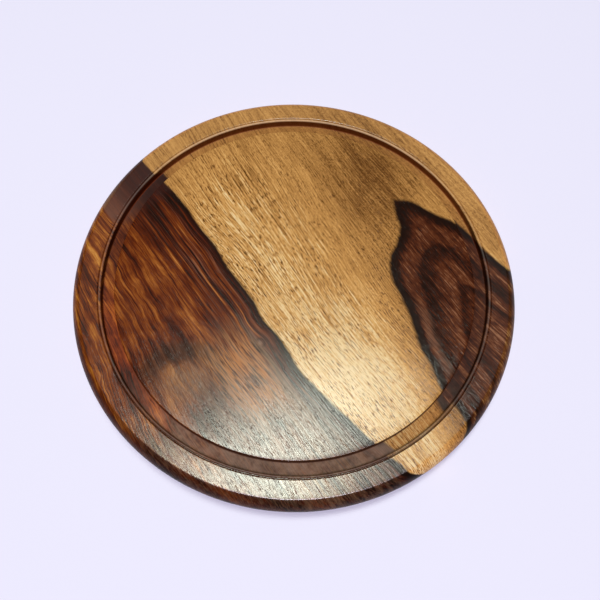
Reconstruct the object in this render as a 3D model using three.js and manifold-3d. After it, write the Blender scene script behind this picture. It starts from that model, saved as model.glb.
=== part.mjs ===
// Round wooden cake board with a ring groove for the rim of a dome, on screwed-on rubber feet.
// Millimetres, +Z up. The origin is the board's axis at the table that the feet stand on.
import * as THREE from "three";
import { mergeVertices } from "three/addons/utils/BufferGeometryUtils.js";
import Module from "manifold-3d";

// Board
const boardDiameter = 300;
const boardThickness = 18;
const edgeBulge = 6.2; // how far the rounded edge swells out past the flat of the rim
const rimFlatWidth = 11.3;
const quirkWidth = 0.7; // fine sunk line between the rim and the bead
const quirkDepth = 0.9;
const quirkFloorSet = 0.14; // from the bead to the lowest line of the quirk
const beadWidth = 1.8;
const grooveWidth = 8.6;
const grooveDepth = 6; // from the top of the rim to the floor of the groove
const fieldDrop = 1.5; // the field lies lower than the rim
const fieldEase = 0.7; // rounding of the field's edge
const floorFillet = 0.6; // rounding between the groove's floor and its walls

// Feet
const footCount = 4;
const footInset = 45; // from the board's widest circle to the axis of a foot
const footTopDiameter = 18;
const footBottomDiameter = 15.5;
const footHeight = 6;
const footRounding = 1;

// Washers and screws
const washerDiameter = 8.4;
const washerThickness = 0.8;
const screwDiameter = 3.5;
const screwLength = 13; // under the head
const screwPointLength = 3.5;
const screwPointDiameter = 0.6;
const headDiameter = 7;
const headHeight = 2;
const headEdgeHeight = 0.7; // straight side of the head, under its dome
const headSetback = 0.6; // the head stays this far above the table
const crossLength = 3.6; // arms of the driver's cross recess
const crossWidth = 0.9;
const crossDepth = 1.1;
const clearance = 0.3; // round the shank, the washer and the point

// Facets
const boardSides = 120;
const footSides = 32;
const screwSides = 20;
const edgeSteps = 14;
const beadSteps = 6;
const filletSteps = 2;
const easeSteps = 3;
const footRoundingSteps = 4;
const headSteps = 4;
const mergeDistance = 1e-4;

const boardMaterial = new THREE.MeshStandardMaterial({ color: 0x8a5a34, roughness: 0.35, metalness: 0 });
const rubberMaterial = new THREE.MeshStandardMaterial({ color: 0x1c1b1a, roughness: 0.8, metalness: 0 });
const washerMaterial = new THREE.MeshStandardMaterial({ color: 0xb4b6b8, roughness: 0.4, metalness: 1 });
const screwMaterial = new THREE.MeshStandardMaterial({ color: 0xa9a08a, roughness: 0.35, metalness: 1 });

const wasm = await Module();
wasm.setup();

// Points along an arc of the outline, in degrees from straight outwards, both ends included.
function arc(centreRadius, centreZ, radius, fromDegrees, toDegrees, steps) {
  const points = [];
  for (let step = 0; step <= steps; step++) {
    const angle = THREE.MathUtils.degToRad(fromDegrees + ((toDegrees - fromDegrees) * step) / steps);
    points.push([centreRadius + radius * Math.cos(angle), centreZ + radius * Math.sin(angle)]);
  }
  return points;
}

// A solid of revolution about Z from an outline of [radius, height] points.
function turned(outline, sides) {
  const points = outline.map(([radius, height]) => new THREE.Vector2(radius, height));
  return new THREE.LatheGeometry(points, sides).rotateX(Math.PI / 2);
}

function toSolid(geometry) {
  const bare = geometry.clone();
  bare.deleteAttribute("normal");
  bare.deleteAttribute("uv");
  const merged = mergeVertices(bare, mergeDistance);
  const mesh = new wasm.Mesh({
    numProp: 3,
    vertProperties: merged.attributes.position.array,
    triVerts: new Uint32Array(merged.index.array),
  });
  return new wasm.Manifold(mesh);
}

function toGeometry(solid) {
  const mesh = solid.getMesh();
  const geometry = new THREE.BufferGeometry();
  geometry.setAttribute("position", new THREE.BufferAttribute(mesh.vertProperties, mesh.numProp));
  geometry.setIndex(new THREE.BufferAttribute(mesh.triVerts, 1));
  geometry.computeVertexNormals();
  return geometry;
}

// Heights and radii that follow from the sizes above
const undersideZ = footHeight;
const rimZ = undersideZ + boardThickness;
const fieldZ = rimZ - fieldDrop;
const floorZ = rimZ - grooveDepth;
const boardRadius = boardDiameter / 2;
const rimOuterRadius = boardRadius - edgeBulge;
const rimInnerRadius = rimOuterRadius - rimFlatWidth;
const beadOuterRadius = rimInnerRadius - quirkWidth;
const wallRadius = beadOuterRadius - beadWidth;
const fieldRadius = wallRadius - grooveWidth;
const footCircleRadius = boardRadius - footInset;
const screwHoleRadius = screwDiameter / 2 + clearance;
const cupRadius = washerDiameter / 2 + clearance;
const headSeatZ = headSetback + headHeight;
const cupDepth = headSeatZ + washerThickness;
const screwTopZ = headSeatZ + screwLength;

// The rounded edge is one arc through both arrises and the widest circle.
function edgeArc() {
  const halfThickness = boardThickness / 2;
  const edgeRadius = (edgeBulge ** 2 + halfThickness ** 2) / (2 * edgeBulge);
  const centreRadius = boardRadius - edgeRadius;
  const halfAngle = THREE.MathUtils.radToDeg(Math.atan2(halfThickness, rimOuterRadius - centreRadius));
  return arc(centreRadius, undersideZ + halfThickness, edgeRadius, -halfAngle, halfAngle, edgeSteps);
}

function boardOutline() {
  const beadRadius = beadWidth / 2;
  return [
    [0, undersideZ],
    ...edgeArc(),
    [rimInnerRadius, rimZ],
    [beadOuterRadius + quirkFloorSet, rimZ - quirkDepth],
    ...arc(beadOuterRadius - beadRadius, rimZ - beadRadius, beadRadius, 0, 180, beadSteps),
    ...arc(wallRadius - floorFillet, floorZ + floorFillet, floorFillet, 0, -90, filletSteps),
    ...arc(fieldRadius + floorFillet, floorZ + floorFillet, floorFillet, -90, -180, filletSteps),
    ...arc(fieldRadius - fieldEase, fieldZ - fieldEase, fieldEase, 0, 90, easeSteps),
    [0, fieldZ],
  ];
}

function pilotHole(footPlace) {
  const depth = screwTopZ + clearance - undersideZ;
  const hole = new THREE.CylinderGeometry(screwHoleRadius, screwHoleRadius, 2 * depth, screwSides);
  hole.rotateX(Math.PI / 2);
  hole.translate(footPlace.x, footPlace.y, undersideZ);
  return toSolid(hole);
}

function boardGeometry(footPlaces) {
  let board = toSolid(turned(boardOutline(), boardSides));
  for (const footPlace of footPlaces) {
    board = board.subtract(pilotHole(footPlace));
  }
  return toGeometry(board);
}

// A tapered rubber cup: its mouth, with the screw's head inside, faces the table.
function footGeometry() {
  const bottomRadius = footBottomDiameter / 2;
  return turned(
    [
      [screwHoleRadius, cupDepth],
      [cupRadius, cupDepth],
      [cupRadius, 0],
      ...arc(bottomRadius - footRounding, footRounding, footRounding, -90, 0, footRoundingSteps),
      [footTopDiameter / 2, footHeight],
      [screwHoleRadius, footHeight],
      [screwHoleRadius, cupDepth],
    ],
    footSides,
  );
}

function washerGeometry() {
  const washerRadius = washerDiameter / 2;
  return turned(
    [
      [screwHoleRadius, headSeatZ],
      [washerRadius, headSeatZ],
      [washerRadius, cupDepth],
      [screwHoleRadius, cupDepth],
      [screwHoleRadius, headSeatZ],
    ],
    footSides,
  );
}

// A domed head with a cross recess, and a shank that ends in a point.
function screwGeometry() {
  const headRadius = headDiameter / 2;
  const domeHeight = headHeight - headEdgeHeight;
  const dome = [];
  for (let step = 0; step <= headSteps; step++) {
    const angle = ((step / headSteps) * Math.PI) / 2;
    dome.push([headRadius * Math.sin(angle), headSetback + domeHeight * (1 - Math.cos(angle))]);
  }
  let screw = toSolid(
    turned(
      [
        ...dome,
        [headRadius, headSeatZ],
        [screwDiameter / 2, headSeatZ],
        [screwDiameter / 2, screwTopZ - screwPointLength],
        [screwPointDiameter / 2, screwTopZ],
        [0, screwTopZ],
      ],
      screwSides,
    ),
  );
  for (const [sizeX, sizeY] of [[crossLength, crossWidth], [crossWidth, crossLength]]) {
    const arm = new THREE.BoxGeometry(sizeX, sizeY, 2 * crossDepth).translate(0, 0, headSetback);
    screw = screw.subtract(toSolid(arm));
  }
  return toGeometry(screw);
}

function footPlacesOnCircle() {
  const places = [];
  for (let index = 0; index < footCount; index++) {
    const angle = ((index + 0.5) / footCount) * 2 * Math.PI;
    places.push(new THREE.Vector3(footCircleRadius * Math.cos(angle), footCircleRadius * Math.sin(angle), 0));
  }
  return places;
}

function addMesh(parent, name, geometry, material) {
  const mesh = new THREE.Mesh(geometry, material);
  mesh.name = name;
  parent.add(mesh);
}

const cakeBoard = new THREE.Group();
const footPlaces = footPlacesOnCircle();
addMesh(cakeBoard, "board", boardGeometry(footPlaces), boardMaterial);
footPlaces.forEach((footPlace, index) => {
  const foot = new THREE.Group();
  foot.position.copy(footPlace);
  addMesh(foot, `foot_${index + 1}`, footGeometry(), rubberMaterial);
  addMesh(foot, `foot_washer_${index + 1}`, washerGeometry(), washerMaterial);
  addMesh(foot, `foot_screw_${index + 1}`, screwGeometry(), screwMaterial);
  cakeBoard.add(foot);
});

export default cakeBoard;
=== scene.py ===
import math
import bpy
import bmesh
from mathutils import Matrix, Vector


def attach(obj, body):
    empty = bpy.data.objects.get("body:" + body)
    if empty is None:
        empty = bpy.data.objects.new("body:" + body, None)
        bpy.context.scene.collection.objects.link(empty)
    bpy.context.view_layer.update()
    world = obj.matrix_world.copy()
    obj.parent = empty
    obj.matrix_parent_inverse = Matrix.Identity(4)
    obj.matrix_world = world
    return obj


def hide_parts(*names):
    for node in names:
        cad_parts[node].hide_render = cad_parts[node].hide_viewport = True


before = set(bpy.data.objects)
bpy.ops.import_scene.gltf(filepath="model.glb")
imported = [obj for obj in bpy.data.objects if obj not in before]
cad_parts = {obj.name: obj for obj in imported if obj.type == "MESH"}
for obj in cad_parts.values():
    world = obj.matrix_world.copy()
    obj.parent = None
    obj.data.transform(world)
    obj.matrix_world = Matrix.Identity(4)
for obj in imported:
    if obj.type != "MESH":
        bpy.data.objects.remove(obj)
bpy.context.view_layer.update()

mm = 0.001
sameSpot = 0.001 * mm  # points of a mesh closer than this are one
bench = {}  # holds the node tree that is being built
print("frame loaded:", len(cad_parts), "nodes")


# small helpers for node trees: a value may be a number, a tuple or a socket
def put(target, value):
    if isinstance(value, bpy.types.NodeSocket):
        bench["tree"].links.new(value, target)
    elif value is not None:
        target.default_value = value


def node(kind, **settings):
    made = bench["tree"].nodes.new(kind)
    for key, value in settings.items():
        setattr(made, key, value)
    return made


# both fill the inputs of a node, in order or by name, and give its outputs
def fill(made, *values):
    for socket, value in zip(made.inputs, values):
        put(socket, value)
    return made.outputs


def fillNamed(made, values):
    for name, value in values.items():
        put(made.inputs[name], value)
    return made.outputs


def step(kind, values, **settings):
    return fillNamed(node(kind, **settings), values)[0]


def useGroup(group, values):
    return fillNamed(node("ShaderNodeGroup", node_tree=group), values)


def calc(operation, a, b=None, c=None, clamp=False):
    return fill(node("ShaderNodeMath", operation=operation, use_clamp=clamp), a, b, c)[0]


def times(*values):
    product = values[0] if values else 1.0
    for value in values[1:]:
        product = calc("MULTIPLY", product, value)
    return product


def less(value, part):
    return calc("SUBTRACT", value, part)


def add(value, extra, share=1.0):
    return calc("MULTIPLY_ADD", extra, share, value)


# noise from 0 to 1, spread evenly about nought
def centred(noise, strength):
    return add(-0.5 * strength, noise, strength)


def vectorCalc(operation, a, b=None, scale=None):
    found = fill(node("ShaderNodeVectorMath", operation=operation), a, b, None, scale)
    return found[1 if operation in ("LENGTH", "DOT_PRODUCT", "DISTANCE") else 0]


def triple(x, y, z):
    return fill(node("ShaderNodeCombineXYZ"), x, y, z)[0]


def axes(vector):
    return tuple(fill(node("ShaderNodeSeparateXYZ"), vector))


def flattened(vector):
    return vectorCalc("MULTIPLY", vector, (1.0, 1.0, 0.0))


def fade(value, start, end, low=0.0, high=1.0, kind="SMOOTHSTEP"):
    return fill(node("ShaderNodeMapRange", interpolation_type=kind), value, start, end, low, high)[0]


def cloud(vector, scale=1.0, detail=2.0, rough=0.5, warp=0.0):
    return step("ShaderNodeTexNoise", {"Vector": vector, "Scale": scale, "Detail": detail, "Roughness": rough,
                                       "Distortion": warp})


def blend(factor, a, b, mode="MIX"):
    made = node("ShaderNodeMix", data_type="RGBA", blend_type=mode)
    put(made.inputs[0], factor)
    for socket, value in ((made.inputs[6], a), (made.inputs[7], b)):
        put(socket, (*value, 1.0) if isinstance(value, tuple) else value)
    return made.outputs[2]


def ramp(factor, stops):
    made = node("ShaderNodeValToRGB")
    band = made.color_ramp
    while len(band.elements) < len(stops):
        band.elements.new(0.5)
    for element, (place, colour) in zip(band.elements, stops):
        element.position = place
        element.color = (*colour, 1.0)
    return fill(made, factor)[0]


# a drawn line through given points: its height over a value, between low and high
def drawnLine(value, points, low=0.0, high=1.0):
    first, last = points[0][0], points[-1][0]
    share = fade(value, first, last, kind="LINEAR")
    made = node("ShaderNodeFloatCurve")
    line = made.mapping.curves[0]
    while len(line.points) < len(points):
        line.points.new(0.5, 0.5)
    for point, (x, y) in zip(line.points, points):
        point.location = ((x - first) / (last - first), (y - low) / (high - low))
        point.handle_type = "AUTO"
    made.mapping.update()
    put(made.inputs["Value"], share)
    return fade(made.outputs[0], 0.0, 1.0, low, high, kind="LINEAR")


socketKinds = {"Position": "Vector", "Flat": "Vector", "Colour": "Color"}  # all others are numbers


def newGroup(name, ins, outs):
    tree = bench["tree"] = bpy.data.node_groups.new(name, "ShaderNodeTree")
    for way, labels in (("INPUT", ins), ("OUTPUT", outs)):
        for label in labels:
            tree.interface.new_socket(label, in_out=way, socket_type="NodeSocket" + socketKinds.get(label, "Float"))
    return tree, node("NodeGroupInput").outputs, node("NodeGroupOutput")


def newMaterial(name):
    made = bpy.data.materials.new(name)
    made.use_nodes = True
    bench["tree"] = made.node_tree
    shader = next(n for n in made.node_tree.nodes if n.type == "BSDF_PRINCIPLED")
    place = node("ShaderNodeTexCoord").outputs["Object"]
    return made, shader, place


def bumps(height, strength, depth):
    return step("ShaderNodeBump", {"Strength": strength, "Distance": depth * mm, "Height": height})


# the plank: two dark hearts with a trough of pale sapwood between them; millimetres on the field
plank = {
    "fieldHeight": 22.5,
    "grain": (0.6355, -0.7718),  # direction on the board, away from the far left
    "slant": 1.2,  # both hearts widen by this much for each millimetre of depth
    "fanLength": 281,  # sapwood grain closes in on a point this far along
    "fanStart": -31,
    "fanEnd": 22, "fanEase": 40,  # past here the fibres run side by side
    "waver": (0.012, 1), "waverSize": 9,  # slow wandering of the fibres
    "rags": (9, 1.8, 4), "ragNoise": (1, 3, 0.65), "ragSize": 2.4,  # ragged borders, drawn out along the grain
    "linesTurn": (3, 30),  # lines in the left heart follow its border first, then the grain
    "cornerEase": 18,
    "leftEdge": [(-150, -31.5), (-132, -30.6), (-117, -29.6), (-97, -28.1), (-74, -29.4), (-55, -29.5), (-34, -31.9),
                 (-4, -32.6), (11, -35.2), (27, -34.4), (40, -35.3), (53, -37.1), (66, -36), (82, -34.2),
                 (101, -31.1), (114, -29.6), (128, -26.2), (135, -23.5), (150, -22.5)],
    "rightEdge": [(-110, 117), (-96, 108), (-74, 95), (-65.6, 91.8), (-57.8, 88.9), (-47.9, 83.6),
                  (-34.9, 79.5), (-21, 75.4), (-10.3, 71.1), (1.3, 66), (14.8, 64.3), (29.8, 69.5), (41.8, 71.9),
                  (53.1, 69.4), (66, 67.5), (90, 66)],
    "topEdge": [(50, 66), (68, 64.6), (81.2, 63.6), (90.3, 58.2), (98.7, 53.6), (109.8, 48.3), (118, 40.5),
                (130.2, 27.5), (146.7, 11.5), (160, -2)],
    "swing": [(-140, 100), (-100, 66), (-60, 28), (-30, 4), (0, 0), (30, 26), (55, 50), (80, 56),
              (105, 40), (130, 20), (170, 10)],  # how strongly fibres close in, from the left border across
    "spans": {"leftEdge": (-40, -15), "rightEdge": (60, 120), "topEdge": (-10, 70), "swing": (0, 100)},
}


def makeGrainFlow():
    tree, ins, out = newGroup("grainFlow", ["Position"], [
        "Along", "Across", "Grain", "Depth", "Left heart", "Left lines", "Right heart", "Right lines", "Flat"])
    place = vectorCalc("SCALE", ins["Position"], scale=1.0 / mm)
    x, y, z = axes(place)
    depth = less(plank["fieldHeight"], z)
    sunk = times(depth, plank["slant"])
    gx, gy = plank["grain"]
    along = vectorCalc("DOT_PRODUCT", place, (gx, gy, 0.0))
    over = vectorCalc("DOT_PRODUCT", place, (-gy, gx, 0.0))

    def line(name, value):
        return drawnLine(value, plank[name], *plank["spans"][name])

    def fan(reach):
        return calc("DIVIDE", plank["fanLength"], less(plank["fanLength"], reach))

    # fibres in the sapwood run straight and close in on one point
    off = less(over, plank["fanStart"])
    waver = centred(cloud(place, *plank["waver"]), plank["waverSize"])
    straightened = calc("SMOOTH_MIN", along, plank["fanEnd"], plank["fanEase"])
    grain = add(off, line("swing", off), less(fan(straightened), 1.0))
    drawn = [calc("DIVIDE", value, size) for value, size in zip((along, over, depth), plank["rags"])]
    ragged = centred(cloud(triple(*drawn), *plank["ragNoise"]), plank["ragSize"])
    leftEdge = add(less(line("leftEdge", along), over), sunk)
    turned = fade(leftEdge, *plank["linesTurn"])
    leftLines = fill(node("ShaderNodeMix", data_type="FLOAT"), turned, None, leftEdge, less(sunk, grain))[0]
    side = less(x, line("rightEdge", y))
    top = less(line("topEdge", x), y)
    rightEdge = add(calc("MINIMUM", side, top), sunk)
    rounded = calc("SMOOTH_MIN", side, top, plank["cornerEase"])
    fill(out, along, add(waver, off, fan(along)), add(grain, waver), depth, add(leftEdge, ragged), leftLines,
         add(rightEdge, ragged), add(rounded, sunk), place)
    return tree


grainFlow = makeGrainFlow()
print("grain flow drawn")

# open vessels of the wood: dashes along the grain, dots where it is cut across
pores = {
    "cell": (4.2, 0.74, 0.74), "size": 0.23, "smallest": 0.138, "softness": 0.55,
    "kept": 0.75,  # share of the cells that hold one
    "sapColour": (0.120, 0.046, 0.011), "heartColour": (0.008, 0.003, 0.0015), "ink": (0.46, 0.36),
}


def makePoreDashes():
    ways = ("Along", "Across", "Depth")
    tree, ins, out = newGroup("poreDashes", [*ways, "Density"], ["Mask"])
    drawn = [calc("DIVIDE", ins[name], size) for name, size in zip(ways, pores["cell"])]
    spots = fillNamed(node("ShaderNodeTexVoronoi", feature="F1"), {"Vector": triple(*drawn), "Scale": 1.0})
    chance = fill(node("ShaderNodeSeparateColor"), spots["Color"])
    kept = calc("LESS_THAN", chance[0], ins["Density"])
    size = add(pores["smallest"], chance[1], pores["size"])
    mask = calc("SUBTRACT", 1.0, calc("DIVIDE", spots["Distance"], size), clamp=True)
    fill(out, times(fade(mask, 0.0, pores["softness"]), kept))
    return tree


poreDashes = makePoreDashes()

# Rows of the wood. Streaks: what they cross, length, width, detail, roughness, seed, warp and cut, as in a fade.
# Clouds: scale, detail, roughness, warp, cut. Offsets: a name and the middle that it is measured from.
# Masks and areas: names, numbers and fades of a name, multiplied. Textures add a strength, glazes a colour.
weave = {
    "streaks": {
        "fibre": ("grain", 24, 0.75, 2, 0.55, 0, 0),
        "fine": ("grain", 8, 0.62, 2, 0.6, 71, 0),
        "dashSpots": ("grain", 4.2, 0.62, 1, 0.55, 21, 0, 0.52, 0.66),
        "crowd": ("grain", 45, 7, 2, 0.55, 31, 0, 0.36, 0.58, 0.45, 1),  # dashes gather in places
    },
    "masks": {"dashes": ["dashSpots", "crowd"]},
    "depthShare": 3.5,  # streaks are this much deeper than wide
}

# sapwood: slow change from side to side, long soft streaks, fine fibres, short dark dashes
sapwood = {
    "colours": [(0, (0.09, 0.034, 0.007)), (0.15, (0.18, 0.074, 0.017)), (0.34, (0.325, 0.152, 0.04)),
                (0.52, (0.455, 0.224, 0.063)), (0.7, (0.575, 0.3, 0.09)), (0.86, (0.66, 0.408, 0.155)),
                (1, (0.74, 0.55, 0.29))],
    "gain": 0.7, "lift": 0.16,
    "tone": [(-10, 0.56), (8, 0.57), (27, 0.64), (34, 0.54), (42, 0.44), (52, 0.45), (67, 0.4), (80, 0.31),
             (92, 0.21), (105, 0.18), (118, 0.2), (130, 0.28), (150, 0.42), (200, 0.46)],  # from the left border
    "drift": [[("along", -120, 100, -0.1, 0.3, "LINEAR"), ("across", 110, 40)],
              [("along", 15, 75, 0, 0.27), ("across", 95, 60)],
              [("along", 80, 112, 0, -0.36), ("across", 60, 30)]],
    "farTone": 0.46, "farEnd": [("along", -60, -125, 0, 0.8)],
    "brown": (60, 86, 0), "brownWave": (0.045, 3), "brownSize": 46,  # dark patch at the far right
    "streaks": {
        "broad": ("grain", 130, 6, 2, 0.55, 3, 0),
        "narrow": ("grain", 45, 1.9, 2, 0.55, 11, 0),
        "scores": ("grain", 70, 0.85, 2, 0.6, 91, 0, 0.58, 0.67),
    },
    "clouds": {"mottle": (0.85, 2, 0.5, 0)},
    "masks": {
        "field": [("radius", 128, 119, 0.35, 1)],
        "crisp": [("across", 36, 75, 1, 0.45), ("along", -60, -125, 1, 0.4),
                  ("along", 10, 70, 1, 1.5), ("field", 0.35, 1, 0.6, 1)],
    },
    "areas": [["field", ("spread", 57, 6, 0, -0.27)], ["crisp", 0.22], ["dashes", "crisp", -1.1],
              ["scores", ("across", 78, 48, 0, -0.42)]],
    "textures": [("broad", 0.5, []), ("narrow", 0.6, []), ("fibre", 2.8, ["crisp"]),
                 ("mottle", 0.8, [("across", 30, 75, 0.4, 1)])],
}

# left heart: dark lines beside the border, then flames; the lines part round a knot, and smoke lies over a low arch
paleBrown, smokeBrown = (0.290, 0.170, 0.095), (0.026, 0.008, 0.0025)
leftHeart = {
    "colours": [(0, (0.01, 0.003, 0.0015)), (0.25, (0.046, 0.007, 0.0018)), (0.45, (0.106, 0.0178, 0.0026)),
                (0.62, (0.186, 0.0435, 0.006)), (0.8, (0.31, 0.095, 0.014)), (1, (0.44, 0.172, 0.042))],
    "tone": [(0, 0.05), (1.8, 0.05), (3.6, 0.28), (6, 0.42), (10, 0.44), (16, 0.42), (25, 0.5), (38, 0.6),
             (46, 0.65), (54, 0.56), (62, 0.52), (74, 0.57), (86, 0.52), (120, 0.48), (160, 0.5)],
    "border": ("left", -1.2, 1),
    "knot": (-21.4, -47.4, 0), "knotReach": 9, "knotLine": 11.5, "knotPull": -0.6,
    "waves": [(0.018, 1, 10, ("lines", 6, 60)), (0.07, 2, 5, ("lines", 20, 55))],
    "arch": (-66, -77, 0), "archSquash": (0.92, 1, 0), "archWave": (0.07, 1.5), "archSize": 7,
    "nest": (10, -67), "nestDrawn": 0.32, "nestWave": (0.075, 2), "nestSize": 12,
    "nestTurns": 1.75,  # fine lines, one inside the other, under the arch
    "light": ([("along", 0, 60, 0, 0.42)], ["archTop", ("arch", 22, 10, 0, 0.36)]),
    "offsets": {"middle": ("along", -30), "band": ("lines", 34), "archRing": ("arch", 23), "knotRing": ("knot", 3)},
    "streaks": {
        "ruled": ("bent", 260, 3.4, 2, 0.6, 5, 0, 0.47, 0.62),
        "lit": ("bent", 170, 2, 1, 0.6, 41, 0, 0.54, 0.68),
        "hairs": ("bent", 30, 1, 2, 0.6, 77, 0, 0.55, 0.66),
        "rosy": ("bent", 75, 0.85, 2, 0.6, 83, 0, 0.54, 0.64),
        "wide": ("bent", 150, 5.5, 2, 0.6, 14, 0),
        "flames": ("bent", 38, 8, 3, 0.6, 1.7, 0.6),
        "thin": ("bent", 26, 1.2, 2, 0.55, 8, 0),
        "strips": ("grain", 110, 3.6, 3, 0.55, 51, 0, 0.42, 0.64),
        "flecks": ("grain", 7, 0.75, 3, 0.7, 61, 0, 0.44, 0.6),
        "threads": ("grain", 16, 1, 2, 0.65, 97, 0, 0.4, 0.6, 0.1, 1.9),
    },
    "clouds": {"patchy": (0.045, 2, 0.5, 0, 0.4, 0.6, 0.25, 1.2), "blotches": (0.06, 3, 0.55, 0.3)},
    "masks": {
        "inside": [("lines", 1.8, 4.5)],
        "calm": ["inside", ("lines", 24, 50, 1, 0.55)],
        "archTop": [("y", -94, -74, 0.35, 1)],
    },
    "areas": [
        ["ruled", "inside", ("lines", 8, 46, -0.3, -0.14)],
        ["lit", "inside", "patchy", ("middle", 30, 85, 1, 0.3), ("lines", 8, 60, 0.33, 0.14)],
        ["hairs", ("lines", 10, 30, 0, -0.26)],
        ["dashes", -0.08],
        [("along", 0, 75, 0, -0.2)],
        [("along", -45, 5, 0, 0.13), ("lines", 62, 84), ("lines", 106, 96)],
        [("along", -55, -100, 0, -0.16), ("lines", 14, 24), ("lines", 60, 40)],
        [("along", -80, -108, 0, -0.2), ("lines", 26, 14)],
        [("along", -95, -112, 0, 0.14), ("lines", 46, 50), ("lines", 72, 60)],
        [("arch", 22, 48, -0.16, 0), ("arch", 16, 22)],
        [("arch", 18, 8, 0, 0.2)],
    ],
    "textures": [("wide", 0.7, ["calm"]), ("thin", 0.7, ["calm"]), ("fibre", 0.6, ["calm"]),
                 ("fine", 0.3, ["inside"]), ("flames", 1.2, [("lines", 12, 45)]),
                 ("blotches", 0.5, [("lines", 22, 50)])],
    "glazes": [
        ((0.175, 0.078, 0.05), ["rosy", ("lines", 3, 7), ("lines", 34, 16, 0, 0.62), ("along", -95, -30, 0.35, 1)]),
        ((0.03, 0.011, 0.007), [("knotRing", 1.5, 0, 0, 0.7)]),
        ((0.24, 0.12, 0.07), [("knot", 1.8, 0.6, 0, 0.5)]),
        ((0.168, 0.094, 0.05), ["archTop", ("arch", 20, 8, 0, 0.45)]),
        (smokeBrown, [("archRing", 11, 2, 0, 0.88), ("y", -92, -64), ("lines", 8, 24), ("fibre", 0.3, 0.7, 1, 0.65)]),
        (paleBrown, ["flecks", "lightened", ("lines", 9, 22)]),
        (paleBrown, ["strips", ("along", -12, 40, 0, 0.62), ("band", 34, 14)]),
        ((0.5, 0.195, 0.052), ["threads", ("along", -8, 22, 0, 0.36), ("along", 74, 48),
                                ("lines", 13, 23), ("lines", 56, 42)]),
        (smokeBrown, [("threads", 0.7, 0.1, 0, 0.4), ("along", 0, 40)]),
        ((0.05, 0.02, 0.009), [("nestLines", 0.1, 0.9), ("nested", 17, 8, 0, 0.42), ("fibre", 0.35, 0.65, 0.15, 1)]),
    ],
    "farEnd": [("along", -102, -116, 0, 0.8), ("lines", 47.5, 45.5)],  # purple by the border, mauve beyond
    "farTurn": [("lines", 16, 44)], "purple": (0.04, 0.011, 0.008), "mauve": (0.12, 0.045, 0.029),
}

# right heart: dark rind, then arches one inside the other, scratched by pale fibres
rightHeart = {
    "colours": [(0, (0.008, 0.0028, 0.0015)), (0.3, (0.029, 0.0064, 0.0024)), (0.55, (0.065, 0.0145, 0.0045)),
                (0.75, (0.119, 0.0335, 0.011)), (1, (0.25, 0.105, 0.05))],
    "tone": [(0, 0.12), (2, 0.05), (4.5, 0.08), (8, 0.38), (13, 0.58), (19, 0.56), (23.5, 0.22), (28, 0.26),
             (35, 0.54), (41, 0.64), (45, 0.26), (49, 0.42), (58, 0.6), (90, 0.6)],
    "border": ("right", -2, 1.5),
    "leanWave": (0.05, 3), "leanSize": 8, "lean": [("y", 15, -45, 0, 12)], "leanFrom": [("right", 3, 15)],
    "offsets": {"paleLine": ("right", 10.5)},
    "streaks": {
        "coarse": ("grain", 40, 2.4, 2, 0.55, 2, 0),
        "scratches": ("grain", 10, 0.8, 1, 0.55, 17, 0, 0.53, 0.68, 0, 0.28),
    },
    "clouds": {"coreMottle": (0.22, 3, 0.5, 0)},
    "masks": {"core": [("right", 2, 7)]},
    "areas": [["scratches", "core"], ["dashes", -0.18]],
    "textures": [("coarse", 0.8, ["core"]), ("coreMottle", 0.5, ["core"]), ("fibre", 0.8, ["core"]),
                 ("fine", 0.6, ["core"])],
    "glazes": [((0.22, 0.108, 0.062), [("paleLine", 5, 1, 0, 0.42), ("y", -6, -24), ("y", -74, -52),
                                        ("fibre", 0.38, 0.62, 0.15, 1)])],
}


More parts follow.
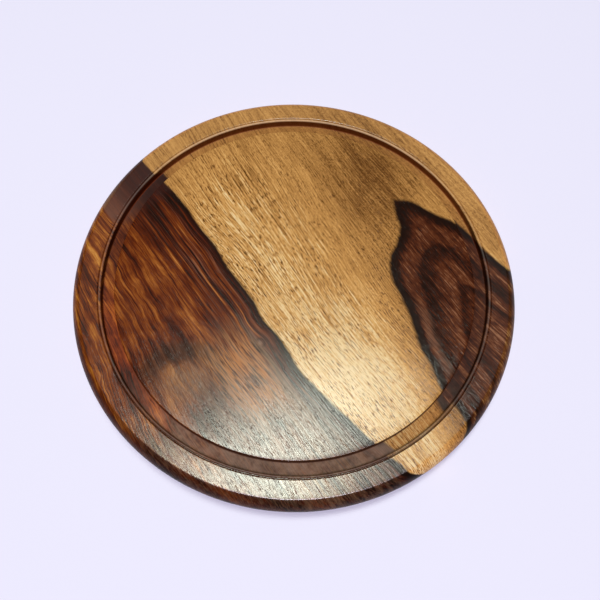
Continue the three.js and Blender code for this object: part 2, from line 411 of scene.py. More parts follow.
def makeWoodFigure():
    tree, ins, out = newGroup("woodFigure", ["Position"], ["Colour", "Pores", "Fibre", "Dashes", "Heart"])
    flow = useGroup(grainFlow, {"Position": ins["Position"]})
    flat, depth = flow["Flat"], flow["Depth"]
    onTop = flattened(flat)
    # everything that a row can name
    at = {"along": flow["Along"], "across": flow["Across"], "grain": flow["Grain"], "left": flow["Left heart"],
          "lines": flow["Left lines"], "right": flow["Right heart"], "rings": flow["Right lines"],
          "y": axes(flat)[1], "radius": vectorCalc("LENGTH", onTop)}

    def reading(row):
        if isinstance(row, tuple):
            return fade(at[row[0]], *row[1:])
        return at[row] if isinstance(row, str) else row

    def zone(rows):
        return times(*map(reading, rows))

    def wave(shape, size):
        return centred(cloud(flat, *shape), size)

    def trimmed(noise, cut):
        return fade(noise, *cut) if cut else noise

    # draws the noises and masks of one kind of wood
    def prepare(wood):
        for name, (scale, detail, rough, warp, *cut) in wood.get("clouds", {}).items():
            at[name] = trimmed(cloud(flat, scale, detail, rough, warp), cut)
        for name, (over, length, width, detail, rough, seed, warp, *cut) in wood["streaks"].items():
            spot = triple(calc("DIVIDE", at["along"], length), add(seed, at[over], 1.0 / width),
                          calc("DIVIDE", depth, width * weave["depthShare"]))
            at[name] = trimmed(cloud(spot, 1.0, detail, rough, warp), cut)
        for name, (value, middle) in wood.get("offsets", {}).items():
            at[name] = calc("ABSOLUTE", less(at[value], middle))
        for name, rows in wood["masks"].items():
            at[name] = zone(rows)

    def toned(tone, wood):
        for rows in wood["areas"]:
            tone = add(tone, zone(rows))
        for name, strength, rows in wood["textures"]:
            tone = add(tone, centred(at[name], strength), zone(rows))
        return tone

    def glazed(colour, wood):
        for tint, rows in wood["glazes"]:
            colour = blend(zone(rows), colour, tint)
        return colour

    def sapwoodColour():
        s = sapwood
        prepare(s)
        at["spread"] = add(vectorCalc("DISTANCE", onTop, s["brown"]), wave(s["brownWave"], s["brownSize"]))
        tone = drawnLine(at["across"], s["tone"])
        for rows in s["drift"]:
            tone = add(tone, zone(rows))
        tone = add(tone, less(s["farTone"], tone), zone(s["farEnd"]))
        return ramp(add(s["lift"], toned(tone, s), s["gain"]), s["colours"])

    def leftColour():
        h, lines = leftHeart, at["lines"]
        at["knot"] = vectorCalc("DISTANCE", onTop, h["knot"])
        square = calc("POWER", calc("DIVIDE", at["knot"], h["knotReach"]), 2.0)
        eye = calc("EXPONENT", times(square, -1.0))
        bent = add(lines, times(less(lines, h["knotLine"]), eye), h["knotPull"])
        for scale, detail, size, row in h["waves"]:
            bent = add(bent, wave((scale, detail), size), reading(row))
        at["bent"] = bent
        arch = vectorCalc("MULTIPLY", vectorCalc("SUBTRACT", flat, h["arch"]), h["archSquash"])
        at["arch"] = add(vectorCalc("LENGTH", arch), wave(h["archWave"], h["archSize"]))
        ahead, aside = (less(at[name], middle) for name, middle in zip(("along", "grain"), h["nest"]))
        ahead = add(calc("MINIMUM", ahead, 0.0), calc("MAXIMUM", ahead, 0.0), h["nestDrawn"])
        nested = vectorCalc("LENGTH", triple(ahead, aside, 0.0))
        at["nested"] = add(nested, wave(h["nestWave"], h["nestSize"]))
        at["nestLines"] = calc("SINE", times(at["nested"], h["nestTurns"]))
        prepare(h)
        at["lightened"] = calc("MAXIMUM", *map(zone, h["light"]))
        colour = glazed(ramp(toned(drawnLine(bent, h["tone"]), h), h["colours"]), h)
        return blend(zone(h["farEnd"]), colour, blend(zone(h["farTurn"]), h["purple"], h["mauve"]))

    def rightColour():
        h = rightHeart
        prepare(h)
        leaning = add(wave(h["leanWave"], h["leanSize"]), zone(h["lean"]))
        curl = add(at["rings"], leaning, zone(h["leanFrom"]))
        return glazed(ramp(toned(drawnLine(curl, h["tone"]), h), h["colours"]), h)

    prepare(weave)
    isLeft, isRight = reading(leftHeart["border"]), reading(rightHeart["border"])
    isHeart = calc("MAXIMUM", isLeft, isRight)
    colour = blend(isLeft, sapwoodColour(), leftColour())
    colour = blend(isRight, colour, rightColour())
    holes = useGroup(poreDashes, {"Along": at["along"], "Across": at["grain"], "Depth": depth,
                                  "Density": pores["kept"]})["Mask"]
    inked = times(holes, fade(isHeart, 0.0, 1.0, *pores["ink"]))
    colour = blend(inked, colour, blend(isHeart, pores["sapColour"], pores["heartColour"]))
    fill(out, colour, holes, at["fibre"], at["dashes"], isHeart)
    return tree


woodFigure = makeWoodFigure()
print("wood figure drawn")

# the turned board, sizes in millimetres; heights run up from the table
board = {
    "underside": 6, "rimHeight": 24, "edgeRadius": 150, "edgeBulge": 6.2, "arrisEase": 0.7,
    "rimInner": 132.5, "rimRings": (142, 138, 133.3), "lipEase": 0.35,
    "quirkDepth": 0.9, "quirkFloor": 0.56,  # the lowest line of the quirk lies this far inside the rim
    "beadWidth": 1.8, "wall": 130, "fieldRadius": 121.4, "floorHeight": 18, "floorFillet": 0.6,
    "wallRow": 2.5, "floorRow": 3,  # extra rings up both walls and on the groove's floor
    "fieldHeight": 22.5, "fieldEase": 0.7, "fieldRings": (118, 108, 94, 72, 50, 30, 16, 6, 0),
    "undersideRings": (0, 6, 16, 30, 50, 72, 94, 115, 132),
    "grooveSpill": 0.2, "grooveUnder": 1,  # the groove's finish reaches this far past its walls and floor
    "sides": 480, "edgeSteps": 30, "beadSteps": 12, "filletSteps": 5, "easeSteps": 6, "seam": 0.002, "smoothUnder": 32,
}

# one wood in three finishes: satin on top, a dry scraped groove, and a less shiny edge whose colour carries painted
# shade and a painted reflection
finish = {
    "satinWood": {"roughness": 0.165, "poreDepth": 0.1, "shine": 0.5},
    "grooveWood": {"roughness": 0.5, "poreDepth": 0.2, "shine": 0.14},
    "edgeWood": {"roughness": 0.34, "poreDepth": 0.15, "shine": 0.1},
    "nearSide": (-125, -55, 1, 0), "relief": (-80, -30, 1, 0.35),  # stronger on the near side
    "patches": (60, 3), "patchRub": 0.06, "ridgeRub": 0.04, "dashRub": 0.07, "wearRub": 0.35,
    "poreRub": 0.42, "poreNear": 1.4, "poreFar": -0.4,  # open pores are dull, on the near side above all
    "ridges": (0.34, 0.66), "ridgeHeight": 0.34, "dashHeight": -0.34, "poreHeight": (-0.5, -0.25), "bump": 0.7,
    # painted shade: a dark colour laid on the groove's walls and in the quirk, redder on the far wall
    "ringSoftness": 0.6, "paintedShade": (0.06, 0.015, 0.004), "farWallShade": (0.145, 0.019, 0),
    # painted shade: the groove is darkened, most on the near side; on the left, in the heartwood, it is lightened
    "farGrooveShade": (0.72, 0.65, 0.57), "nearGrooveShade": (0.56, 0.44, 0.3),
    "leftGroove": (1.55, 1.4, 1.15), "grooveLeft": (-30, -85), "grooveLow": (10, -45),
    # dust and painted sheen: grey patches on the near side of the groove, in the heartwood
    "dustAndSheen": (0.24, 0.14, 0.095), "dust": (150, 4, 0.6), "dustCut": (0.3, 0.7, 0.2, 0.62),
    "farWall": (0, 70), "wallShade": (0.25, 0.72), "shadeReach": 0.8,
    # painted reflection and painted shade on the outer edge of the heartwood: a pale grey sheen round most of it, dark
    # on the near side
    "edgeReach": 13, "sapEdge": (1.1, 1.03, 1.02), "edgeSheen": (1.45, 1.9, 1.45), "nearEdgeShade": (0.52, 0.44, 0.42),
    # the bead's pale strip on the far side is wear and a painted highlight
    "beadReach": 1.5, "beadAbove": 22.5, "beadFar": (60, 115, 0.02, 0.5), "paleWearAndHighlight": (0.6, 0.38, 0.22),
    "rimMiddle": 139, "rimReach": 18, "rimAbove": 23.5, "rimLift": (1.45, 1.75, 1.7),
    "rimLow": (15, 60, 1, 0), "rimLeft": (60, 0), "bloom": (0.36, 0.33, 0.3), "bloomShare": 0.03,
    "linesAbove": 20, "linesNear": (0, 0.6),
    # painted shade: dark lines in the quirk and beside the groove's wall
    "shadeLines": [(2.05, 0.9, 0.1, 0.9), (0.3, 0.7, 0, 0.8), (1.1, 0.4, 0, 0.7)],  # past the wall, reach, far, near
}


def makeRingMask():
    tree, ins, out = newGroup("ringMask", ["Position", "Middle", "Reach", "Above"], ["Mask"])
    height = axes(ins["Position"])[2]
    radius = vectorCalc("LENGTH", flattened(ins["Position"]))
    away = calc("ABSOLUTE", less(radius, ins["Middle"]))
    near = calc("SUBTRACT", 1.0, calc("DIVIDE", away, ins["Reach"]), clamp=True)
    high = calc("GREATER_THAN", height, ins["Above"])
    fill(out, times(fade(near, 0.0, finish["ringSoftness"]), high))
    return tree


ringMask = makeRingMask()


def ringed(here, middle, reach, above=0.0):
    return useGroup(ringMask, {"Position": here["place"], "Middle": middle * mm, "Reach": reach * mm,
                               "Above": above * mm})["Mask"]


# the three colour functions give the colour and where the surface is worn dull
def grooveColour(wood, here):
    f = finish
    x, y, near = here["x"], here["y"], here["near"]
    # painted shade: the groove is darker on the near side; in the left heartwood it is lightened instead
    tint = blend(near, f["farGrooveShade"], f["nearGrooveShade"])
    onLeft = times(fade(x, *f["grooveLeft"]), fade(y, *f["grooveLow"]), wood["Heart"])
    tint = blend(onLeft, tint, f["leftGroove"])
    colour = blend(1.0, wood["Colour"], tint, "MULTIPLY")
    # dust and painted sheen: grey patches on the near side of the groove
    dust = fade(cloud(here["place"], *f["dust"]), *f["dustCut"])
    colour = blend(times(near, dust, wood["Heart"]), colour, f["dustAndSheen"])
    # painted shade on the groove's walls, strongest and reddest on the far side
    wallShadeColour = blend(fade(y, *f["farWall"]), f["paintedShade"], f["farWallShade"])
    farWallShadeShare = fade(y, *f["farWall"], *f["wallShade"])
    for middle, share in ((board["wall"], farWallShadeShare), (board["fieldRadius"], f["wallShade"][1])):
        colour = blend(times(ringed(here, middle, f["shadeReach"]), share), colour, wallShadeColour)
    return colour, 0.0


def edgeColour(wood, here):
    f = finish
    # on the heartwood: painted shade on the near side of the edge, a painted grey reflection on the rest
    tint = blend(here["near"], f["edgeSheen"], f["nearEdgeShade"])
    tint = blend(wood["Heart"], f["sapEdge"], tint)
    tinted = blend(1.0, wood["Colour"], tint, "MULTIPLY")
    return blend(ringed(here, board["edgeRadius"], f["edgeReach"]), wood["Colour"], tinted), 0.0


# the bead is worn pale with a painted highlight on the far side, the rim is paler on the left, and painted shade lies
# in the quirk and beside the wall
def topColour(wood, here):
    f = finish
    x, y = here["x"], here["y"]
    bead = ringed(here, board["wall"] + board["beadWidth"] / 4, f["beadReach"], f["beadAbove"])
    # wear and a painted highlight: the bead is paler on the far side
    colour = blend(times(bead, fade(y, *f["beadFar"])), wood["Colour"], f["paleWearAndHighlight"])
    rim = ringed(here, f["rimMiddle"], f["rimReach"], f["rimAbove"])
    lifted = blend(1.0, colour, f["rimLift"], "MULTIPLY")
    onLeft = times(fade(y, *f["rimLow"]), fade(x, *f["rimLeft"]))
    colour = blend(times(rim, onLeft), colour, blend(wood["Heart"], colour, lifted))
    colour = blend(times(rim, f["bloomShare"]), colour, f["bloom"])
    # painted shade: dark lines in the quirk and beside the wall, stronger on the near side
    for past, reach, far, close in f["shadeLines"]:
        line = ringed(here, board["wall"] + past, reach, f["linesAbove"])
        share = fade(here["near"], *f["linesNear"], far, close)
        colour = blend(times(line, share), colour, f["paintedShade"])
    return colour, bead


def makeWood(name, recolour):
    f = finish
    own = f[name]
    made, shader, place = newMaterial(name)
    wood = useGroup(woodFigure, {"Position": place})
    x, y, _ = axes(vectorCalc("SCALE", place, scale=1.0 / mm))
    here = {"place": place, "x": x, "y": y, "near": fade(y, *f["nearSide"])}
    colour, worn = recolour(wood, here)
    relief = fade(y, *f["relief"])
    ridges = fade(wood["Fibre"], *f["ridges"])
    rub = add(own["roughness"], centred(cloud(place, *f["patches"]), f["patchRub"]))
    rub = add(rub, ridges, f["ridgeRub"])
    openPores = times(wood["Pores"], f["poreRub"])
    rub = add(rub, openPores, add(f["poreFar"], relief, f["poreNear"]))
    rub = add(rub, worn, f["wearRub"])
    rub = calc("MULTIPLY_ADD", wood["Dashes"], f["dashRub"], rub, clamp=True)
    sunk = times(wood["Pores"], fade(wood["Heart"], 0.0, 1.0, *f["poreHeight"]))
    height = add(add(sunk, ridges, f["ridgeHeight"]), wood["Dashes"], f["dashHeight"])
    fillNamed(shader, {"Base Color": colour, "Roughness": rub, "Specular IOR Level": own["shine"],
                       "Normal": bumps(times(height, relief), f["bump"], own["poreDepth"])})
    return made


satinWood = makeWood("satinWood", topColour)
grooveWood = makeWood("grooveWood", grooveColour)
edgeWood = makeWood("edgeWood", edgeColour)
print("wood finishes mixed")


def arcPoints(centre, radius, start, end, steps):
    turns = [math.radians(start + (end - start) * k / steps) for k in range(steps + 1)]
    return [(centre[0] + radius * math.cos(a), centre[1] + radius * math.sin(a)) for a in turns]


# swaps each sharp corner listed for a short curve
def eased(points, corners, reach, steps=4):
    made = []
    for index, point in enumerate(points):
        if index not in corners:
            made.append(point)
            continue
        corner = Vector(point)
        before = (Vector(points[index - 1]) - corner).normalized() * reach
        after = (Vector(points[index + 1]) - corner).normalized() * reach
        for k in range(steps + 1):
            share = k / steps
            made.append(tuple(corner + before * (1 - share) ** 2 + after * share ** 2))
    return made


# radius and height of each ring, from the middle of the underside round to the middle of the field
def boardOutline():
    b = board
    half = (b["rimHeight"] - b["underside"]) / 2
    edgeRound = (b["edgeBulge"] ** 2 + half ** 2) / (2 * b["edgeBulge"])
    swing = math.degrees(math.atan2(half, edgeRound - b["edgeBulge"]))
    bead, fillet, ease, low = b["beadWidth"] / 2, b["floorFillet"], b["fieldEase"], b["floorHeight"]
    points = [(r, b["underside"]) for r in b["undersideRings"]]
    first = len(points)
    points += arcPoints((b["edgeRadius"] - edgeRound, b["underside"] + half), edgeRound, -swing, swing, b["edgeSteps"])
    last = len(points) - 1
    points += [(r, b["rimHeight"]) for r in (*b["rimRings"], b["rimInner"])]
    lip = len(points) - 1
    points += [(b["rimInner"] - b["quirkFloor"], b["rimHeight"] - b["quirkDepth"])]
    points += arcPoints((b["wall"] + bead, b["rimHeight"] - bead), bead, 0, 180, b["beadSteps"])
    points += [(b["wall"], low + b["wallRow"])]
    points += arcPoints((b["wall"] - fillet, low + fillet), fillet, 0, -90, b["filletSteps"])
    points += [(b["wall"] - b["floorRow"], low), (b["fieldRadius"] + b["floorRow"], low)]
    points += arcPoints((b["fieldRadius"] + fillet, low + fillet), fillet, -90, -180, b["filletSteps"])
    points += [(b["fieldRadius"], low + b["wallRow"])]
    points += arcPoints((b["fieldRadius"] - ease, b["fieldHeight"] - ease), ease, 0, 90, b["easeSteps"])
    points += [(r, b["fieldHeight"]) for r in b["fieldRings"]]
    return eased(eased(points, (lip,), b["lipEase"]), (first, last), b["arrisEase"])


# a Geometry Nodes tree with named inputs and one mesh out
def newTree(name, inputs):
    tree = bench["tree"] = bpy.data.node_groups.new(name, "GeometryNodeTree")
    tree.interface.new_socket("Geometry", in_out="OUTPUT", socket_type="NodeSocketGeometry")
    for label, kind in inputs:
        tree.interface.new_socket(label, in_out="INPUT", socket_type="NodeSocket" + kind)
    return tree, node("NodeGroupInput").outputs


def painted(shape, material, chosen=True):
    return step("GeometryNodeSetMaterial", {"Geometry": shape, "Selection": chosen, "Material": material})


# turns an outline about the upright axis: a flat grid is wrapped round, one row for each point of the outline
def makeLatheTree():
    tree, ins = newTree("turnedShape", [
        ("Outline", "Geometry"), ("Sides", "Int"), ("Rows", "Int"), ("Finish", "Material"),
        ("Groove finish", "Material"), ("Groove inside", "Float"), ("Groove outside", "Float"),
        ("Groove below", "Float"), ("Groove above", "Float"), ("Edge finish", "Material"), ("Edge inside", "Float")])
    here = node("GeometryNodeInputPosition").outputs[0]
    x, y, z = axes(here)
    rows = less(ins["Rows"], 1.0)
    grid = step("GeometryNodeMeshGrid", {"Size X": ins["Sides"], "Size Y": rows, "Vertices Y": ins["Rows"],
                                         "Vertices X": add(ins["Sides"], 1.0)})
    column = add(x, ins["Sides"], 0.5)
    row = calc("ROUND", add(y, rows, 0.5))
    sample = step("GeometryNodeSampleIndex", {"Geometry": ins["Outline"], "Value": here, "Index": row},
                  data_type="FLOAT_VECTOR", domain="POINT")
    reach, _, height = axes(sample)
    turn = times(calc("DIVIDE", column, ins["Sides"]), 2 * math.pi)
    ringX, ringY = (times(reach, calc(way, turn)) for way in ("COSINE", "SINE"))
    shape = step("GeometryNodeSetPosition", {"Geometry": grid, "Position": triple(ringX, ringY, height)})
    shape = step("GeometryNodeMergeByDistance", {"Geometry": shape, "Distance": board["seam"] * mm})
    shape = step("GeometryNodeRealizeInstances", {"Geometry": shape})
    radius = vectorCalc("LENGTH", flattened(here))
    limits = ((radius, "GREATER_THAN", "Groove inside"), (radius, "LESS_THAN", "Groove outside"),
              (z, "LESS_THAN", "Groove below"), (z, "GREATER_THAN", "Groove above"))
    inGroove = times(*(calc(way, value, ins[label]) for value, way, label in limits))
    onEdge = calc("GREATER_THAN", radius, ins["Edge inside"])
    for label, chosen in (("Finish", True), ("Groove finish", inGroove), ("Edge finish", onEdge)):
        shape = painted(shape, ins[label], chosen)
    fill(node("NodeGroupOutput"), shape)
    return tree


def linked(name, data):
    made = bpy.data.objects.new(name, data)
    bpy.context.scene.collection.objects.link(made)
    return made


# what the modifiers make of a piece, as a plain mesh
def bakedMesh(piece):
    bpy.context.view_layer.update()
    return bpy.data.meshes.new_from_object(piece.evaluated_get(bpy.context.evaluated_depsgraph_get()))


# runs a tree on a mesh and keeps what it makes as a plain mesh object
def grow(name, seedMesh, tree, values):
    holder = linked(name + "Seed", seedMesh)
    modifier = holder.modifiers.new("grow", "NODES")
    modifier.node_group = tree
    sockets = {s.name: s.identifier for s in tree.interface.items_tree if s.in_out == "INPUT"}
    for label, value in values.items():
        modifier[sockets[label]] = value
    made = bakedMesh(holder)
    made.name = name
    holder.modifiers.remove(modifier)
    bpy.data.objects.remove(holder)
    return linked(name, made)


# cuts one mesh out of a piece and keeps the result as its mesh
def cutOut(piece, cutterMesh):
    cutter = linked(piece.name + "Cutter", cutterMesh)
    modifier = piece.modifiers.new("cut", "BOOLEAN")
    modifier.operation, modifier.solver, modifier.object = "DIFFERENCE", "EXACT", cutter
    made = bakedMesh(piece)
    piece.modifiers.remove(modifier)
    bpy.data.objects.remove(cutter)
    piece.data = made


def meshOf(name, work):
    made = bpy.data.meshes.new(name)
    work.to_mesh(made)
    work.free()
    return made


# outward faces, smooth except along real edges
def tidyMesh(piece, angle):
    work = bmesh.new()
    work.from_mesh(piece.data)
    bmesh.ops.remove_doubles(work, verts=work.verts, dist=sameSpot)
    bmesh.ops.recalc_face_normals(work, faces=work.faces)
    for face in work.faces:
        face.smooth = True
    for edge in work.edges:
        edge.smooth = len(edge.link_faces) == 2 and edge.calc_face_angle(0.0) < math.radians(angle)
    work.to_mesh(piece.data)
    work.free()


def plainMesh(name, spots, faces=()):
    made = bpy.data.meshes.new(name)
    made.from_pydata([tuple(v * mm for v in spot) for spot in spots], [], faces)
    return made


def turnBoard():
    b, outline = board, boardOutline()
    return grow("turnedBoard", plainMesh("boardOutline", [(r, 0.0, h) for r, h in outline]), makeLatheTree(), {
        "Sides": b["sides"], "Rows": len(outline), "Finish": satinWood, "Groove finish": grooveWood,
        "Groove inside": (b["fieldRadius"] - b["grooveSpill"]) * mm,
        "Groove outside": (b["wall"] + b["grooveSpill"]) * mm,
        "Groove below": (b["rimHeight"] - b["beadWidth"] / 2) * mm,
        "Groove above": (b["floorHeight"] - b["grooveUnder"]) * mm,
        "Edge finish": edgeWood, "Edge inside": (b["edgeRadius"] - b["edgeBulge"]) * mm})


# four feet on a circle, each a rubber cup held by a washer and a screw; sizes in millimetres
feet = {
    "count": 4, "circle": 105, "start": 45, "seed": 7, "sides": 96,
    "bore": 2.05, "seat": 2.6, "cupDepth": 3.4,  # seat and cupDepth are the heights of the washer's two faces
    "holeTop": 15.9, "holeStart": 2, "holeSides": 40,  # pilot holes in the board
}


def drillPilotHoles():
    f = feet
    work = bmesh.new()
    bottom, top = board["underside"] - f["holeStart"], f["holeTop"]
    for k in range(f["count"]):
        turn = math.radians(f["start"] + 360.0 * k / f["count"])
        spot = (f["circle"] * math.cos(turn) * mm, f["circle"] * math.sin(turn) * mm, (bottom + top) / 2 * mm)
        bmesh.ops.create_cone(work, cap_ends=True, segments=f["holeSides"], radius1=f["bore"] * mm,
                              radius2=f["bore"] * mm, depth=(top - bottom) * mm, matrix=Matrix.Translation(spot))
    holes = meshOf("pilotHoles", work)
    holes.materials.append(grooveWood)
    cutOut(boardPiece, holes)


boardPiece = turnBoard()
drillPilotHoles()
tidyMesh(boardPiece, board["smoothUnder"])
print("board turned:", len(boardPiece.data.polygons), "faces")
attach(boardPiece, "root")
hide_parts("board")

# soft blotches and a fine grain, shared by the rubber and the metal
mottling = {"details": {"Blotch size": 4.0, "Grain size": 2.0}, "rough": 0.6, "bump": 0.6,
            "colourCut": (0.3, 0.7), "rubCut": (0.25, 0.75)}


def makeFineMottle():
    tree, ins, out = newGroup("fineMottle", ["Position", *mottling["details"]], ["Blotches", "Grain"])
    fill(out, *[cloud(ins["Position"], calc("DIVIDE", 1.0 / mm, ins[name]), detail, mottling["rough"])
                for name, detail in mottling["details"].items()])
    return tree


fineMottle = makeFineMottle()


def makeFootFinish(values):
    made, shader, place = newMaterial(values["name"])
    blotches, grain = useGroup(fineMottle, {"Position": place, "Blotch size": values["blotch"],
                                            "Grain size": values["grain"]})
    colour = blend(fade(blotches, *mottling["colourCut"]), values["dark"], values["light"])
    rub = fade(blotches, *mottling["rubCut"], *values["roughness"])
    fillNamed(shader, {"Base Color": colour, "Roughness": rub, "Metallic": values["metallic"],
                       "Normal": bumps(grain, mottling["bump"], values["relief"])})
    return made


# copies one part to every foot, each with its own turn
def makeFootRingTree():
    tree, ins = newTree("footRing", [("Part", "Geometry"), ("Count", "Int"), ("Circle", "Float"), ("Start", "Float"),
                                     ("Seed", "Int"), ("Finish", "Material")])
    circle = step("GeometryNodeMeshCircle", {"Vertices": ins["Count"], "Radius": ins["Circle"]})
    circle = step("GeometryNodeTransform", {"Geometry": circle, "Rotation": triple(0.0, 0.0, ins["Start"])})
    chance = node("FunctionNodeRandomValue", data_type="FLOAT")
    chance.inputs[3].default_value = 2 * math.pi
    put(chance.inputs["Seed"], ins["Seed"])
    copies = step("GeometryNodeInstanceOnPoints", {
        "Points": circle, "Instance": ins["Part"], "Rotation": triple(0.0, 0.0, chance.outputs[1])})
    real = step("GeometryNodeRealizeInstances", {"Geometry": copies})
    fill(node("NodeGroupOutput"), painted(real, ins["Finish"]))
    return tree


footRing = makeFootRingTree()


def onEveryFoot(name, partMesh, values, nodeName):
    piece = grow(name, partMesh, footRing, {
        "Count": feet["count"], "Circle": feet["circle"] * mm, "Start": math.radians(feet["start"]),
        "Seed": feet["seed"], "Finish": makeFootFinish(values["finish"])})
    tidyMesh(piece, values["smoothUnder"])
    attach(piece, "root")
    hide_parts(*[nodeName + str(k + 1) for k in range(feet["count"])])
    print(name, "made:", len(piece.data.polygons), "faces")


# faces between rings of points; when closed, the last ring joins the first
def ringFaces(rows, sides, closed):
    faces = []
    for j in range(rows if closed else rows - 1):
        here, there = j * sides, (j + 1) % rows * sides
        for k in range(sides):
            n = (k + 1) % sides
            faces.append((here + k, here + n, there + n, there + k))
    return faces


def turnedRing(name, points):
    sides = feet["sides"]
    turns = [2 * math.pi * k / sides for k in range(sides)]
    spots = [(r * math.cos(a), r * math.sin(a), h) for r, h in points for a in turns]
    return plainMesh(name, spots, ringFaces(len(points), sides, True))


# rubber cup, mouth down, with two fine ribs round its wall and a ring in its sole
cup = {
    "height": 6, "topRadius": 9, "bottomRadius": 7.75, "rounding": 1, "roundingSteps": 8,
    "cupRadius": 4.5, "lip": 0.45, "lipRow": 0.2, "lipSteps": 5, "topEase": (0.05, 0.35), "topFlat": 0.3,
    "wallRows": (2, 3), "ribs": (3.5, 4.5), "ribRows": (0, 0.15, 0.45, 0.6), "ribCuts": (0, 0.22, 0.22, 0),
    "soleRing": (5.6, 5.75, 6.1, 6.25), "smoothUnder": 30,
    "finish": {"name": "blackRubber", "dark": (0.010, 0.010, 0.010), "light": (0.026, 0.025, 0.024), "metallic": 0,
               "roughness": (0.55, 0.78), "blotch": 4, "grain": 0.35, "relief": 0.08},
}


def cupOutline():
    c, bore, floor = cup, feet["bore"], feet["cupDepth"]
    slope = (c["topRadius"] - c["bottomRadius"]) / (c["height"] - c["rounding"])
    rows = [(h, 0.0) for h in c["wallRows"]]
    rows += [(rib + up, cut) for rib in c["ribs"] for up, cut in zip(c["ribRows"], c["ribCuts"])]
    inset, drop = c["topEase"]
    points = [(bore, floor), (c["cupRadius"], floor), (c["cupRadius"], c["lip"] + c["lipRow"])]
    points += arcPoints((c["cupRadius"] + c["lip"], c["lip"]), c["lip"], 180, 270, c["lipSteps"])
    points += zip(c["soleRing"], c["ribCuts"])
    points += arcPoints((c["bottomRadius"] - c["rounding"], c["rounding"]), c["rounding"], -90, 0, c["roundingSteps"])
    points += [(c["bottomRadius"] + slope * (h - c["rounding"]) - cut, h) for h, cut in rows]
    points += [(c["topRadius"] - inset, c["height"] - drop), (c["topRadius"] - c["topFlat"], c["height"])]
    return points + [(bore, c["height"])]


# flat steel washer on the floor of the cup
washer = {
    "radius": 4.2, "ease": 0.18, "easeSteps": 3, "smoothUnder": 35,
    "finish": {"name": "zincPlate", "dark": (0.46, 0.47, 0.48), "light": (0.62, 0.62, 0.62), "metallic": 1,
               "roughness": (0.26, 0.46), "blotch": 2.5, "grain": 0.20, "relief": 0.02},
}


def washerOutline():
    bore, seat, floor = feet["bore"], feet["seat"], feet["cupDepth"]
    corners = [(bore, seat), (washer["radius"], seat), (washer["radius"], floor), (bore, floor)]
    looped = corners[-1:] + corners + corners[:1]
    return eased(looped, (1, 2, 3, 4), washer["ease"], washer["easeSteps"])[1:-1]


# wood screw, head down: a domed head with a cross recess, and a threaded shank
screw = {
    "headRadius": 3.5, "headBottom": 0.6, "headEdge": 0.7, "headSteps": 12, "headEase": 0.12,
    "neck": ((0.1, 0), (-0.05, 0.25)), "shankRadius": 1.75, "coreRadius": 1.3, "plain": 2,
    "pitch": 1.3, "crest": 2.6, "threadSteps": 84, "runOut": 6, "tipLength": 3.5, "tipRadius": 0.3, "tipRow": 0.2,
    "top": 15.6, "sides": 48, "crossStart": 0.5, "crossDepth": 1.1,
    "crossMouth": (3.888, 0.9), "crossFloor": (1.8, 0.63),  # length and width of each arm
    "bodySmoothUnder": 40, "smoothUnder": 35,
    "finish": {"name": "screwSteel", "dark": (0.40, 0.35, 0.24), "light": (0.58, 0.53, 0.40), "metallic": 1,
               "roughness": (0.24, 0.42), "blotch": 1.8, "grain": 0.16, "relief": 0.02},
}


# radius, height and depth of thread of each ring
def screwRows():
    s, seat = screw, feet["seat"]
    dome = seat - s["headBottom"] - s["headEdge"]
    turns = [math.radians(90.0 * k / s["headSteps"]) for k in range(s["headSteps"] + 1)]
    rows = [(s["headRadius"] * math.sin(a), s["headBottom"] + dome * (1 - math.cos(a)), 0.0) for a in turns]
    rows += [(s["headRadius"], seat - s["headEase"], 0.0), (s["headRadius"] - s["headEase"], seat, 0.0)]
    rows += [(s["shankRadius"] + wider, seat + up, 0.0) for wider, up in s["neck"]]
    low, high = seat + s["plain"], s["top"] - s["tipRow"]
    for k in range(s["threadSteps"] + 1):
        h = low + (high - low) * k / s["threadSteps"]
        share = min(1.0, max(0.0, (s["top"] - h) / s["tipLength"]))  # narrows to the tip
        outer = s["tipRadius"] + (s["shankRadius"] - s["tipRadius"]) * share
        rows.append((outer, h, (s["shankRadius"] - s["coreRadius"]) * share * min(1.0, k / s["runOut"])))
    return rows + [(0.0, s["top"], 0.0)]


# one tapered arm of the cross recess
def crossArm(turn):
    spin = Matrix.Rotation(math.radians(turn), 3, "Z")
    ends = ((screw["headBottom"] - screw["crossStart"], screw["crossMouth"]),
            (screw["headBottom"] + screw["crossDepth"], screw["crossFloor"]))
    corners = [spin @ Vector((x * length / 2, y * width / 2, h)) for h, (length, width) in ends
               for x, y in ((-1, -1), (1, -1), (1, 1), (-1, 1))]
    faces = ((3, 2, 1, 0), (4, 5, 6, 7), (0, 1, 5, 4), (1, 2, 6, 5), (2, 3, 7, 6), (3, 0, 4, 7))
    return plainMesh("crossArm", corners, faces)


def screwMesh():
    rows, sides = screwRows(), screw["sides"]
    spots = []
    for radius, height, cut in rows:
        for k in range(sides):
            phase = (height / screw["pitch"] - k / sides) % 1.0
            r = radius - cut * min(1.0, abs(phase - 0.5) * screw["crest"])
            a = 2 * math.pi * k / sides
            spots.append((r * math.cos(a), r * math.sin(a), height))
    body = linked("screw", plainMesh("screw", spots, ringFaces(len(rows), sides, False)))
    tidyMesh(body, screw["bodySmoothUnder"])
    for turn in (0.0, 90.0):
        cutOut(body, crossArm(turn))
    made = body.data
    bpy.data.objects.remove(body)
    return made


onEveryFoot("rubberFeet", turnedRing("footCup", cupOutline()), cup, "foot_")
onEveryFoot("footWashers", turnedRing("washer", washerOutline()), washer, "foot_washer_")
onEveryFoot("footScrews", screwMesh(), screw, "foot_screw_")

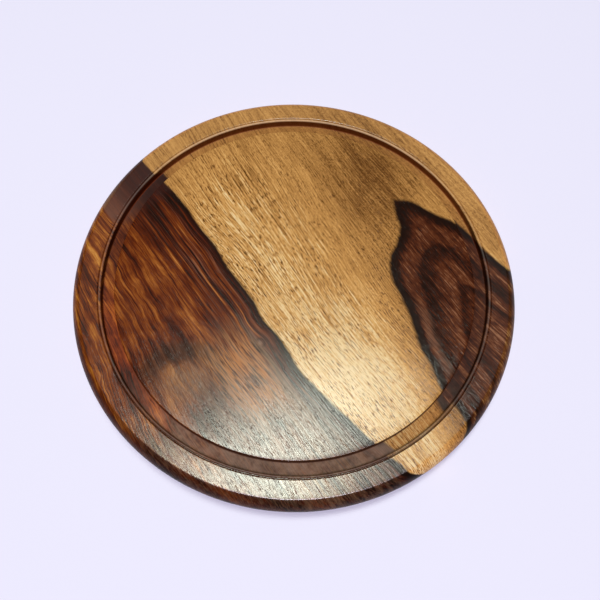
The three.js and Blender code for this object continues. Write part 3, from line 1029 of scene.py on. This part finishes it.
# pale floor and soft light: one lamp, fading to its rim, glints on the near side; a panel lights the rest
setting = {
    "floorColour": (0.765, 0.745, 0.895), "floorShade": 0.99, "floorDapple": (3.0, 3.0), "floorSize": 4.0,
    "floorCells": 8, "floorRoughness": 0.9, "floorShine": 0.1,
    "world": (0.95, 0.95, 1.0), "worldStrength": 0.02, "backdrop": 0.85,
    "lampGap": 0.01,  # the steps of a lamp lie a little apart
    "glint": {"place": (-0.155, 0.200, 3.0), "reach": (0.345, 0.214), "turn": 41.0, "peak": 36.0,
              "colour": (0.93, 1.0, 0.86), "steps": [(0.8, 0.359), (1.35, 0.336), (2.1, 0.228)]},
    "panel": {"place": (0.0, -1.25, 5.0), "reach": (1.0, 0.5), "turn": 0.0, "peak": 34.0,
              "colour": (1.02, 0.97, 1.08), "steps": [(1.0, 1.0)]},
}


def makeFloor():
    made, shader, place = newMaterial("paleFloor")
    light = setting["floorColour"]
    dark = tuple(c * setting["floorShade"] for c in light)
    colour = blend(cloud(place, *setting["floorDapple"]), dark, light)
    fillNamed(shader, {"Base Color": colour, "Roughness": setting["floorRoughness"],
                       "Specular IOR Level": setting["floorShine"]})
    work = bmesh.new()
    cells = setting["floorCells"]
    bmesh.ops.create_grid(work, x_segments=cells, y_segments=cells, size=setting["floorSize"])
    mesh = meshOf("floor", work)
    mesh.materials.append(made)
    linked("floor", mesh)


def makeWorld():
    world = bpy.data.worlds.new("studio")
    bpy.context.scene.world = world
    world.use_nodes = True
    bench["tree"] = world.node_tree
    seen = node("ShaderNodeLightPath").outputs["Is Camera Ray"]
    strength = fade(seen, 0.0, 1.0, setting["worldStrength"], setting["backdrop"])
    fillNamed(world.node_tree.nodes["Background"], {"Color": (*setting["world"], 1.0), "Strength": strength})


# a lamp in steps, one behind the other, aimed at the middle of the board
def makeLamp(name):
    values = setting[name]
    place = Vector(values["place"])
    back = place.normalized()
    side = (Vector((1, 0, 0)) - back * back.x).normalized()
    aim = Matrix((side, back.cross(side), back)).transposed().to_4x4()
    spin = Matrix.Rotation(math.radians(values["turn"]), 4, "Z")
    for number, (share, weight) in enumerate(values["steps"]):
        lamp = bpy.data.lights.new(name, "AREA")
        lamp.shape = "ELLIPSE"
        halfX, halfY = (share * reach for reach in values["reach"])
        lamp.size, lamp.size_y = 2 * halfX, 2 * halfY
        lamp.energy = values["peak"] * weight * math.pi ** 2 * halfX * halfY
        lamp.color = values["colour"]
        spot = Matrix.Translation(place * (1 + setting["lampGap"] * number))
        linked(name, lamp).matrix_world = spot @ aim @ spin


# the photograph's angle
view = {
    "place": (0.0, -0.17829, 0.40603), "right": (0.99919, 0.03308, 0.02297), "up": (-0.03941, 0.92045, 0.38886),
    "forward": (0.00828, 0.38945, -0.92101), "lens": 37.489, "sensor": 36.0, "nearest": 0.01,
}


def makeCamera():
    lens = bpy.data.cameras.new("view")
    lens.lens, lens.sensor_width, lens.sensor_fit = view["lens"], view["sensor"], "HORIZONTAL"
    lens.clip_start = view["nearest"]
    aim = Matrix((view["right"], view["up"], tuple(-v for v in view["forward"]))).transposed()
    made = linked("view", lens)
    made.matrix_world = Matrix.Translation(view["place"]) @ aim.to_4x4()
    bpy.context.scene.camera = made


makeFloor()
makeWorld()
makeLamp("glint")
makeLamp("panel")
makeCamera()
bpy.context.scene.view_settings.view_transform = "Standard"
print("stage set")
